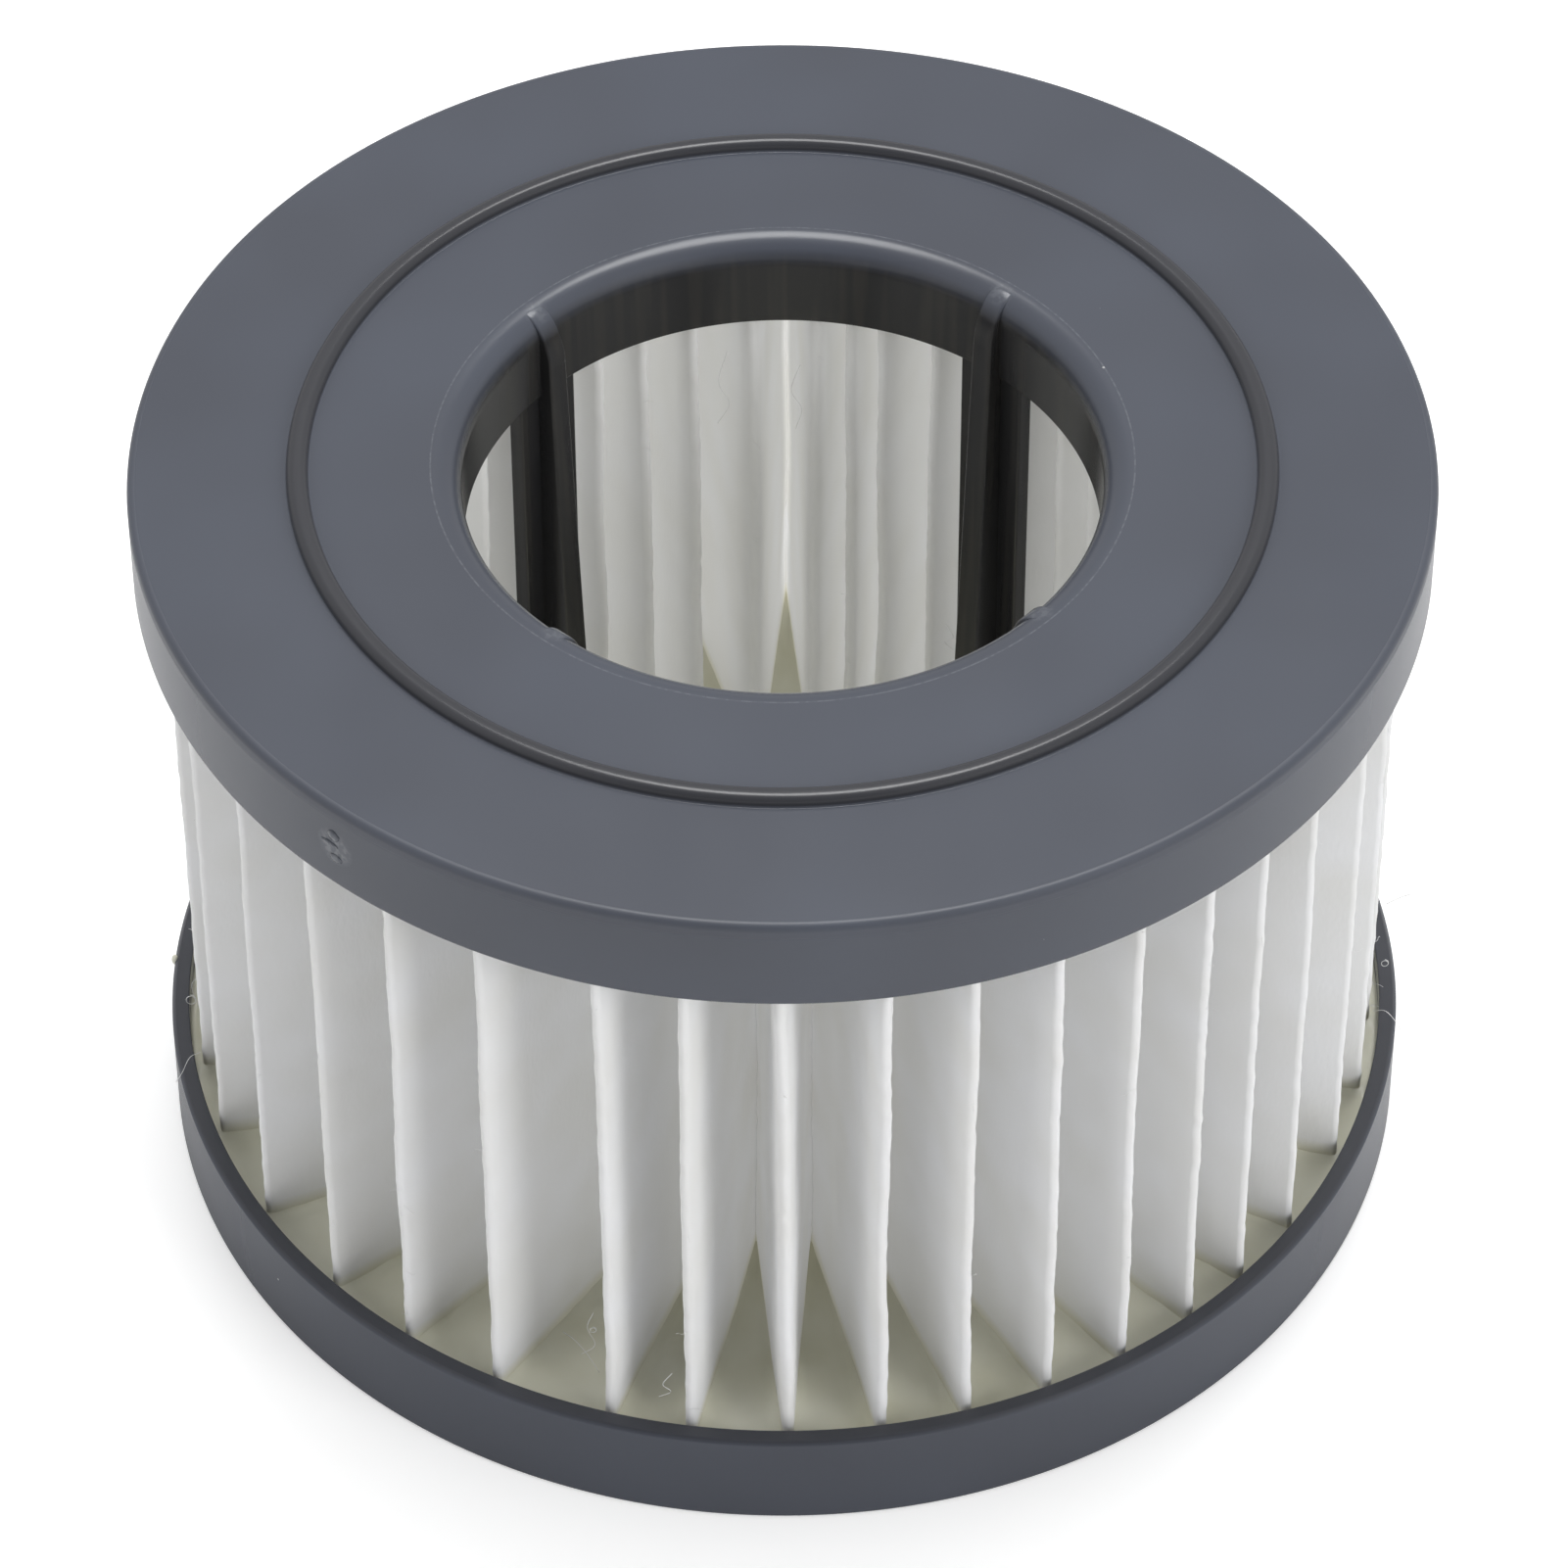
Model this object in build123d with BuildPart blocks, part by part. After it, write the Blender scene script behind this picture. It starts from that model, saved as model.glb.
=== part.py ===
"""Pleated cartridge filter for a hand-held vacuum cleaner.

Air goes in through the folded paper all round, reaches the hollow in the
middle and leaves by the bore of the top cap. The bottom cap is closed.
All sizes are in millimetres. The part stands on its bottom cap, with the
origin at the middle of the underside and the air outlet facing +Z.
"""
from build123d import *
import os
from math import asin, atan2, cos, degrees, radians, sin, tan

# Overall sizes
cap_radius = 42.0
plate_height = 55.5

# Top cap, a moulding with a skirt outside and a sleeve inside
plate_thickness = 1.8
skirt_depth = 6.8
skirt_wall = 1.3
edge_break = 0.4
bore_radius = 20.6
lip_round = 1.9
sleeve_depth = 6.5
sleeve_wall = 1.4
rim_break = 0.2

# Half-round sealing bead on the top plate, drawn with flat sides
bead_circle_radius = 31.1
bead_round = 0.7
bead_sides = 12

# Four legs moulded with the top cap, which hold the inner folds apart
leg_count = 4
leg_start_angle = 48.3
leg_web_width = 5.4
leg_web_wall = 1.1
leg_rib_thickness = 1.8
leg_rib_reach = 0.9
leg_rib_draft = 2.2
leg_crown_height = 3.8
leg_crown_width = 2.3
leg_crown_step = 0.1

# Bottom cap, a closed dish
floor_thickness = 1.5
dish_height = 7.5
dish_wall = 1.2
dish_foot_break = 0.3
dish_rim_break = 0.25

# Beds of cast adhesive that seal the paper's edges to both caps
bottom_bed_depth = 4.0
top_bed_depth = 1.5

# Folded paper. A fold bends round fold_round at the middle of the sheet, in a
# few flats: more on the side that shows its crest than in its hollow.
paper_thickness = 0.6
fold_round = 0.55
crest_flat_count = 6
hollow_flat_count = 2
fold_tip_gap = 0.5
sleeve_gap = 0.9

# Widths of the pleats compared with each other, from the front fold round
# towards +X. The two ends of the sheet meet in one narrow pleat at the back,
# where the two outer folds stand side by side.
front_fold_angle = -90.0
pleats_before_joint = [9, 8, 8.2, 8.3, 8, 7.2, 8.3, 10.7] + [9.05] * 11
pleats_after_joint = [10, 11.2, 8.6, 8.7] + [8.95] * 9 + [12, 11.4, 10, 9.8, 11.5, 7.8, 8.8]
joint_gap = 0.15

# Heights and radii that follow from the sizes above
plate_underside = plate_height - plate_thickness
skirt_bottom = plate_height - skirt_depth
sleeve_bottom = plate_height - sleeve_depth
skirt_inner_radius = cap_radius - skirt_wall
sleeve_outer_radius = bore_radius + sleeve_wall
dish_inner_radius = cap_radius - dish_wall
paper_foot = floor_thickness + bottom_bed_depth
paper_top = plate_underside - top_bed_depth
paper_length = paper_top - paper_foot
outer_fold_radius = min(skirt_inner_radius, dish_inner_radius) - fold_tip_gap
inner_fold_radius = sleeve_outer_radius + sleeve_gap
crest_round = fold_round + paper_thickness / 2

os.makedirs("parts", exist_ok=True)


def polar(radius, angle):
    """Point at a radius and an angle in degrees round the axis."""
    return Vector(radius * cos(radians(angle)), radius * sin(radians(angle)))


def heading(vector):
    """Heading of a flat vector in degrees."""
    return degrees(atan2(vector.Y, vector.X))


def pleat_turns():
    """Angle in degrees that each pleat takes up round the axis."""
    joint = degrees((2 * crest_round + joint_gap) / (outer_fold_radius - crest_round))
    unit = (360 - joint) / sum(pleats_before_joint + pleats_after_joint)
    before = [width * unit for width in pleats_before_joint]
    after = [width * unit for width in pleats_after_joint]
    return before + [joint] + after


def fold_centres():
    """Centres of the bends, outer and inner fold by turns, round the sheet."""
    centres = []
    angle = front_fold_angle
    for turn in pleat_turns():
        centres.append(polar(outer_fold_radius - crest_round, angle))
        centres.append(polar(inner_fold_radius + crest_round, angle + turn / 2))
        angle += turn
    return centres


def sheet_outline(side):
    """Corners of one face of the sheet, in order round the axis.

    side is 1 for the face that looks outwards at the outer folds and -1 for
    the other. Each wall of a pleat is the straight line that touches the bend
    of one fold on one side and the bend of the next fold on the other side.
    """
    centres = fold_centres()
    shift = side * paper_thickness / 2
    walls = []
    for index, start in enumerate(centres):
        end = centres[(index + 1) % len(centres)]
        turn = -1 if index % 2 == 0 else 1
        span = end - start
        lean = degrees(asin(2 * fold_round / span.length))
        normal = polar(1, heading(span) + turn * (90 - lean))
        wall_start = start + normal * (fold_round - turn * shift)
        wall_end = end - normal * (fold_round + turn * shift)
        walls.append((wall_start, wall_end))
    corners = []
    for index, centre in enumerate(centres):
        bend_start = walls[index - 1][1]
        bend_end = walls[index][0]
        outwards = 1 if index % 2 == 0 else -1
        flats = crest_flat_count if outwards == side else hollow_flat_count
        first = heading(bend_start - centre)
        sweep = outwards * (outwards * (heading(bend_end - centre) - first) % 360)
        radius = fold_round + outwards * shift
        for step in range(flats + 1):
            corners.append(centre + polar(radius, first + sweep * step / flats))
    return corners


# One leg on the +X side: a rib that points at the axis, in front of a web
# that carries on the wall of the sleeve. The rib's crown runs out on the lip.
rib_top_radius = bore_radius - leg_rib_reach
rib_root_radius = bore_radius + sleeve_wall / 2
crown_top = plate_height - leg_crown_step
crown_bottom = crown_top - leg_crown_height
rib_foot_radius = rib_top_radius - (crown_bottom - floor_thickness) * tan(radians(leg_rib_draft))
lip_radius = bore_radius + lip_round

with BuildPart() as leg:
    with BuildSketch(Plane.XZ) as rib_profile:
        with BuildLine():
            crown = EllipticalCenterArc(
                center=(rib_top_radius + leg_crown_width, crown_bottom),
                x_radius=leg_crown_width,
                y_radius=leg_crown_height,
                start_angle=90,
                arc_size=90,
            )
            Polyline(
                crown @ 1,
                (rib_foot_radius, floor_thickness),
                (rib_root_radius, floor_thickness),
                (rib_root_radius, plate_underside),
                (lip_radius, plate_underside),
                (lip_radius, crown_top),
                crown @ 0,
            )
        make_face()
    extrude(amount=leg_rib_thickness / 2, both=True)
    with BuildSketch(Plane.XY.offset(floor_thickness)) as web_section:
        Circle(sleeve_outer_radius)
        Circle(sleeve_outer_radius - leg_web_wall, mode=Mode.SUBTRACT)
        with Locations((sleeve_outer_radius, 0)):
            Rectangle(sleeve_outer_radius, leg_web_width, mode=Mode.INTERSECT)
    extrude(amount=sleeve_bottom - floor_thickness)

# Top cap: plate, skirt, sleeve and bead turned round the axis, with its legs
with BuildPart() as top_cap:
    with BuildSketch(Plane.XZ) as cap_profile:
        with BuildLine():
            Polyline(
                (bore_radius, plate_height),
                (cap_radius, plate_height),
                (cap_radius, skirt_bottom),
                (skirt_inner_radius, skirt_bottom),
                (skirt_inner_radius, plate_underside),
                (sleeve_outer_radius, plate_underside),
                (sleeve_outer_radius, sleeve_bottom),
                (bore_radius, sleeve_bottom),
                close=True,
            )
        make_face()
        top_corners = cap_profile.vertices().group_by(Axis.Y)[-1]
        fillet(top_corners.sort_by(Axis.X)[0], lip_round)
        top_corners = cap_profile.vertices().group_by(Axis.Y)[-1]
        chamfer(top_corners.sort_by(Axis.X)[-1], edge_break)
        chamfer(cap_profile.vertices().group_by(Axis.Y)[0], rim_break)
        with Locations((bead_circle_radius, plate_height)):
            RegularPolygon(bead_round, bead_sides, major_radius=False, rotation=180 / bead_sides)
    revolve(axis=Axis.Z)
    with PolarLocations(0, leg_count, start_angle=leg_start_angle):
        add(leg.part)

# Bottom cap: a closed dish with an eased rim
with BuildPart() as bottom_cap:
    with BuildSketch(Plane.XZ) as dish_profile:
        with BuildLine():
            Polyline(
                (0, 0),
                (cap_radius, 0),
                (cap_radius, dish_height),
                (dish_inner_radius, dish_height),
                (dish_inner_radius, floor_thickness),
                (0, floor_thickness),
                close=True,
            )
        make_face()
        outer_corners = dish_profile.vertices().group_by(Axis.X)[-1]
        chamfer(outer_corners.sort_by(Axis.Y)[0], dish_foot_break)
        chamfer(outer_corners.sort_by(Axis.Y)[-1], dish_rim_break)
    revolve(axis=Axis.Z)

# Folded paper: one sheet, its section drawn once and run from cap to cap
with BuildPart() as pleated_paper:
    with BuildSketch(Plane.XY.offset(paper_foot)) as sheet_section:
        with BuildLine():
            Polyline(*sheet_outline(1), close=True)
        make_face()
        with BuildLine():
            Polyline(*sheet_outline(-1), close=True)
        make_face(mode=Mode.SUBTRACT)
    extrude(amount=paper_length)

# Adhesive in the dish, cast round the feet of the legs
with BuildPart() as bottom_adhesive:
    with BuildSketch(Plane.XY.offset(floor_thickness)):
        Circle(dish_inner_radius)
    extrude(amount=bottom_bed_depth)
    with PolarLocations(0, leg_count, start_angle=leg_start_angle):
        add(leg.part, mode=Mode.SUBTRACT)

# Adhesive under the plate, between the sleeve and the skirt
with BuildPart() as top_adhesive:
    with BuildSketch(Plane.XY.offset(paper_top)):
        Circle(skirt_inner_radius)
        Circle(sleeve_outer_radius, mode=Mode.SUBTRACT)
    extrude(amount=top_bed_depth)

top_cap.part.label = "top_cap"
export_step(top_cap.part, "parts/top_cap.step")
bottom_cap.part.label = "bottom_cap"
export_step(bottom_cap.part, "parts/bottom_cap.step")
pleated_paper.part.label = "pleated_paper"
export_step(pleated_paper.part, "parts/pleated_paper.step")
bottom_adhesive.part.label = "bottom_adhesive"
export_step(bottom_adhesive.part, "parts/bottom_adhesive.step")
top_adhesive.part.label = "top_adhesive"
export_step(top_adhesive.part, "parts/top_adhesive.step")
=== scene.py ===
"""Dressed model of a pleated cartridge filter for a hand-held vacuum cleaner.

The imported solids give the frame: the size and the place of every piece. Each
piece is modelled again here with its fine edges, soft folds and finish, and
stands for its solid. Lengths are in metres, written as millimetres times MM.
The filter stands on its closed cap with the air outlet facing +Z.
"""
from __future__ import annotations

import logging
import math
import random
from collections.abc import Iterable, Sequence
from dataclasses import dataclass
from enum import Enum

import bmesh
import bpy
from bmesh.types import BMEdge, BMesh, BMFace, BMVert
from bpy.types import ID, Material, Mesh, NodeSocket, Object, ShaderNode, World
from mathutils import Matrix, Vector, noise
from mathutils.kdtree import KDTree


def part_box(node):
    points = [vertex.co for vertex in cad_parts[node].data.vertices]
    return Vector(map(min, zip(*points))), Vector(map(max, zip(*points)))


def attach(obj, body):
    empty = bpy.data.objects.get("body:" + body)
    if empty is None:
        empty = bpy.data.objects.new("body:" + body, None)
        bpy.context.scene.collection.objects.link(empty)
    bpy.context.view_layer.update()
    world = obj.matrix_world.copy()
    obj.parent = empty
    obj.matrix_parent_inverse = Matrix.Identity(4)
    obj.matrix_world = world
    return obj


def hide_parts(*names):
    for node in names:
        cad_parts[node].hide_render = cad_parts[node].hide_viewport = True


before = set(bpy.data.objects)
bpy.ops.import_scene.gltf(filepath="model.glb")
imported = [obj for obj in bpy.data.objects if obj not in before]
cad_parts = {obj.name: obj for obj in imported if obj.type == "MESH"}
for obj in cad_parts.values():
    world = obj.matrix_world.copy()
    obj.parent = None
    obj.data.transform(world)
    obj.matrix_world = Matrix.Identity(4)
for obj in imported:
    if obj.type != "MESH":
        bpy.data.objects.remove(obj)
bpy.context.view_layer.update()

MM = 0.001
LOG = logging.getLogger("filter")
FULL_TURN = 2 * math.pi
MERGE_DISTANCE = 0.001 * MM
TINY = 0.01 * MM
ROUND_PROFILE = 0.5

# How the pieces fit: folds to sleeve, foot of the paper in its bed, bed in the dish's wall
SLEEVE_GAP = 0.9 * MM
PAPER_SINK = 0.4 * MM
BED_OVERLAP = 0.02 * MM
FUZZ_TOP = 46 * MM

Span = tuple[float, float]
Triple = tuple[float, float, float]
Colour = Triple


class Slot(Enum):
    """Material slots of the record."""

    PLASTIC = "cap_plastic"
    PAPER = "filter_paper"
    ADHESIVE = "adhesive"


def polar(radius: float, angle: float, height: float = 0.0) -> Vector:
    """Point at a radius and an angle round the axis, in radians from +X, and at a height."""
    return Vector((radius * math.cos(angle), radius * math.sin(angle), height))


def ease(value: float) -> float:
    """Smooth step of a value that is first held between 0 and 1."""
    held = min(max(value, 0.0), 1.0)
    return held * held * (3 - 2 * held)


def only(kind: type, items: Iterable[object]) -> list:
    """Items of one kind, in their order."""
    return [item for item in items if isinstance(item, kind)]


def round_off(
    shape: BMesh, geom: Sequence[BMVert | BMEdge], offset: float, steps: int, affect: str
) -> None:
    """Bevel corners or edges to an even round.

    Args:
        shape: The bmesh that holds them.
        geom: Vertices or edges.
        offset: Distance from a corner at which its round starts.
        steps: Number of flats in a round.
        affect: VERTICES or EDGES.
    """
    bmesh.ops.bevel(
        shape,
        geom=geom,
        offset=offset,
        offset_type="OFFSET",
        segments=steps,
        profile=ROUND_PROFILE,
        affect=affect,
        material=-1,
        clamp_overlap=affect == "EDGES",
    )


def turn_up(shape: BMesh, geom: Sequence[BMVert | BMEdge | BMFace], angle: float, steps: int) -> None:
    """Sweep a drawn section round the axis, closed into a ring after a full turn.

    Args:
        shape: The bmesh that holds the section.
        geom: All that is swept.
        angle: Angle of the sweep.
        steps: Number of steps in it.
    """
    bmesh.ops.spin(
        shape,
        geom=geom,
        cent=(0, 0, 0),
        axis=(0, 0, 1),
        angle=angle,
        steps=steps,
        use_merge=angle == FULL_TURN,
    )


def mesh_from(shape: BMesh, name: str) -> Mesh:
    """Mesh of a bmesh, which is freed.

    Args:
        shape: The bmesh.
        name: Name of the mesh.

    Returns:
        The mesh.
    """
    mesh = bpy.data.meshes.new(name)
    shape.to_mesh(mesh)
    shape.free()
    return mesh


def add_object(name: str, data: ID) -> Object:
    """Object that shows the given data in the scene.

    Args:
        name: Name of the object.
        data: Its mesh, lamp or camera.

    Returns:
        The object.
    """
    item = bpy.data.objects.new(name, data)
    bpy.context.scene.collection.objects.link(item)
    return item


def make_piece(
    name: str, shape: BMesh, material: Material, nodes: Sequence[str] = ()
) -> Object:
    """Turn a finished bmesh into a piece that rides on the filter.

    Args:
        name: Name of the piece.
        shape: The bmesh, in place. It is freed.
        material: Finish of the piece.
        nodes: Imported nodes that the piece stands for.

    Returns:
        The new object.
    """
    for face in shape.faces:
        face.smooth = True
    mesh = mesh_from(shape, name)
    mesh.materials.append(material)
    piece = add_object(name, mesh)
    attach(piece, "root")
    if nodes:
        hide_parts(*nodes)
    LOG.info("%s: %d faces", name, len(mesh.polygons))
    return piece


def weigh_normals(piece: Object) -> Object:
    """Keep large flats flat beside their rounded edges, by weighing normals by area.

    Args:
        piece: The piece.

    Returns:
        The same piece.
    """
    modifier = piece.modifiers.new("flat_faces_stay_flat", "WEIGHTED_NORMAL")
    modifier.mode = "FACE_AREA"
    modifier.weight = 100
    return piece


@dataclass(frozen=True)
class Corner:
    """Corner of a turned section, with the size of its rounding."""

    radius: float
    height: float
    rounding: float = 0.0
    steps: int = 4


def turn_section(shape: BMesh, corners: Sequence[Corner], around: int, closed: bool = True) -> None:
    """Draw a section in the XZ plane, round its corners and turn it round the axis.

    Args:
        shape: An empty bmesh, which takes the turned shell.
        corners: The section's corners in order.
        around: Number of steps round the axis.
        closed: Whether the last corner joins the first. An open section starts and ends on the axis.
    """
    verts = [shape.verts.new((corner.radius, 0.0, corner.height)) for corner in corners]
    for start, end in zip(verts, verts[1:]):
        shape.edges.new((start, end))
    if closed:
        shape.edges.new((verts[-1], verts[0]))
    for corner, vert in zip(corners, verts):
        if corner.rounding > 0:
            round_off(shape, [vert], corner.rounding, corner.steps, "VERTICES")
    turn_up(shape, shape.verts[:] + shape.edges[:], FULL_TURN, around)
    bmesh.ops.remove_doubles(shape, verts=shape.verts, dist=MERGE_DISTANCE)
    bmesh.ops.recalc_face_normals(shape, faces=shape.faces)


def join_shape(target: BMesh, source: BMesh, turn: Matrix) -> None:
    """Add a placed copy of the source bmesh to the target and free the source.

    Args:
        target: The bmesh that grows.
        source: The bmesh that is added and freed.
        turn: Placement of the copy.
    """
    mesh = mesh_from(source, "joined")
    mesh.transform(turn)
    target.from_mesh(mesh)
    bpy.data.meshes.remove(mesh)


class ShaderGraph:
    """Node tree of a material or of the world, with short calls for the nodes that they share."""

    def __init__(self, owner: Material | World) -> None:
        """Start with an empty tree.

        Args:
            owner: The material or world that the tree belongs to.
        """
        self.owner = owner
        owner.use_nodes = True
        self.tree = owner.node_tree
        self.tree.nodes.clear()
        self.coordinates = self.add("ShaderNodeTexCoord")
        self.place = self.coordinates.outputs["Object"]

    def add(self, kind: str, **settings: object) -> ShaderNode:
        """Add a node of a kind, with attributes set on it.

        Args:
            kind: Type name of the node.
            **settings: Attributes to set on it.

        Returns:
            The node.
        """
        node = self.tree.nodes.new(kind)
        for name, value in settings.items():
            setattr(node, name, value)
        return node

    def feed(self, socket: NodeSocket, value: NodeSocket | float | Sequence[float]) -> None:
        """Link a socket to another, or set its value.

        Args:
            socket: The input.
            value: The other socket, or a value.
        """
        if isinstance(value, NodeSocket):
            self.tree.links.new(value, socket)
        else:
            socket.default_value = value

    def math(self, kind: str, first: NodeSocket | float, second: NodeSocket | float = 0.0) -> NodeSocket:
        """Result of a math node.

        Args:
            kind: Operation.
            first: First value.
            second: Second value.

        Returns:
            The result.
        """
        node = self.add("ShaderNodeMath", operation=kind)
        self.feed(node.inputs[0], first)
        self.feed(node.inputs[1], second)
        return node.outputs[0]

    def stretch(self, scale: Sequence[float]) -> NodeSocket:
        """Object coordinates scaled along each axis.

        Args:
            scale: Scale along X, Y and Z.

        Returns:
            The scaled coordinates.
        """
        node = self.add("ShaderNodeMapping")
        self.feed(node.inputs["Vector"], self.place)
        self.feed(node.inputs["Scale"], scale)
        return node.outputs["Vector"]

    def noise(self, size: float, detail: float = 2.0, where: NodeSocket | None = None) -> NodeSocket:
        """Noise whose patches are about one size across.

        Args:
            size: Size of a patch, in metres.
            detail: Octaves of finer noise.
            where: Coordinates, or None for plain object coordinates.

        Returns:
            The noise factor, about 0.5 in the mean.
        """
        node = self.add("ShaderNodeTexNoise")
        self.feed(node.inputs["Vector"], where or self.place)
        self.feed(node.inputs["Scale"], 1 / size)
        self.feed(node.inputs["Detail"], detail)
        return node.outputs["Fac"]

    def remap(
        self, value: NodeSocket, span: Span, result: tuple[NodeSocket | float, float] = (0.0, 1.0)
    ) -> NodeSocket:
        """Value mapped from one range to another and held inside it.

        Args:
            value: The value.
            span: Range of the value.
            result: Range that it is mapped to.

        Returns:
            The mapped value.
        """
        node = self.add("ShaderNodeMapRange", clamp=True)
        self.feed(node.inputs["Value"], value)
        for name, number in zip(("From Min", "From Max", "To Min", "To Max"), (*span, *result)):
            self.feed(node.inputs[name], number)
        return node.outputs["Result"]

    def both(self, first: NodeSocket, second: NodeSocket) -> NodeSocket:
        """Product of two masks."""
        return self.math("MULTIPLY", first, second)

    def mix(
        self, factor: NodeSocket | float, first: NodeSocket | Colour, second: NodeSocket | Colour
    ) -> NodeSocket:
        """Mix of two colours.

        Args:
            factor: Share of the second colour.
            first: First colour.
            second: Second colour.

        Returns:
            The mixed colour.
        """
        node = self.add("ShaderNodeMix", data_type="RGBA")
        self.feed(node.inputs["Factor"], factor)
        for name, value in zip(("A", "B"), (first, second)):
            socket = next(s for s in node.inputs if s.name == name and s.type == "RGBA")
            self.feed(socket, value if isinstance(value, NodeSocket) else (*value, 1.0))
        return next(s for s in node.outputs if s.type == "RGBA")

    def bump(self, height: NodeSocket, depth: float, strength: float) -> NodeSocket:
        """Normal bent by a height.

        Args:
            height: Height, from 0 to 1.
            depth: Depth in metres that a height of 1 stands for.
            strength: Strength of the effect.

        Returns:
            The normal.
        """
        node = self.add("ShaderNodeBump")
        self.feed(node.inputs["Height"], height)
        self.feed(node.inputs["Distance"], depth)
        self.feed(node.inputs["Strength"], strength)
        return node.outputs["Normal"]

    def height(self) -> NodeSocket:
        """Z of the object coordinates.

        Returns:
            The height.
        """
        node = self.add("ShaderNodeSeparateXYZ")
        self.feed(node.inputs[0], self.place)
        return node.outputs["Z"]

    def radius(self) -> NodeSocket:
        """Distance from the filter's axis.

        Returns:
            The distance.
        """
        node = self.add("ShaderNodeVectorMath", operation="LENGTH")
        self.feed(node.inputs[0], self.stretch((1, 1, 0)))
        return node.outputs["Value"]

    def above(self, height: float) -> NodeSocket:
        """Mask of all that is higher than a height."""
        return self.math("GREATER_THAN", self.height(), height)

    def clouds(
        self, colours: tuple[Colour, Colour], size: float, span: Span, detail: float = 1
    ) -> NodeSocket:
        """Soft clouds of two colours.

        Args:
            colours: The two colours.
            size: Size of a cloud.
            span: Range of the noise that goes from one to the other.
            detail: Octaves of finer noise.

        Returns:
            The mixed colour.
        """
        return self.mix(self.remap(self.noise(size, detail), span), *colours)

    def finish(self, **inputs: NodeSocket | float | Sequence[float]) -> Material:
        """Close the tree with a Principled shader, whose faint glow isn't sampled as a lamp.

        Args:
            **inputs: Sockets of the shader by name, with underscores for spaces.

        Returns:
            The material.
        """
        shader = self.add("ShaderNodeBsdfPrincipled")
        for name, value in inputs.items():
            self.feed(shader.inputs[name.replace("_", " ")], value)
        self.show(shader, "ShaderNodeOutputMaterial")
        self.owner.cycles.emission_sampling = "NONE"
        return self.owner

    def show(self, shader: ShaderNode, output: str) -> None:
        """Link a shader to an output node of the given kind."""
        self.feed(self.add(output).inputs["Surface"], shader.outputs[0])


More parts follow.
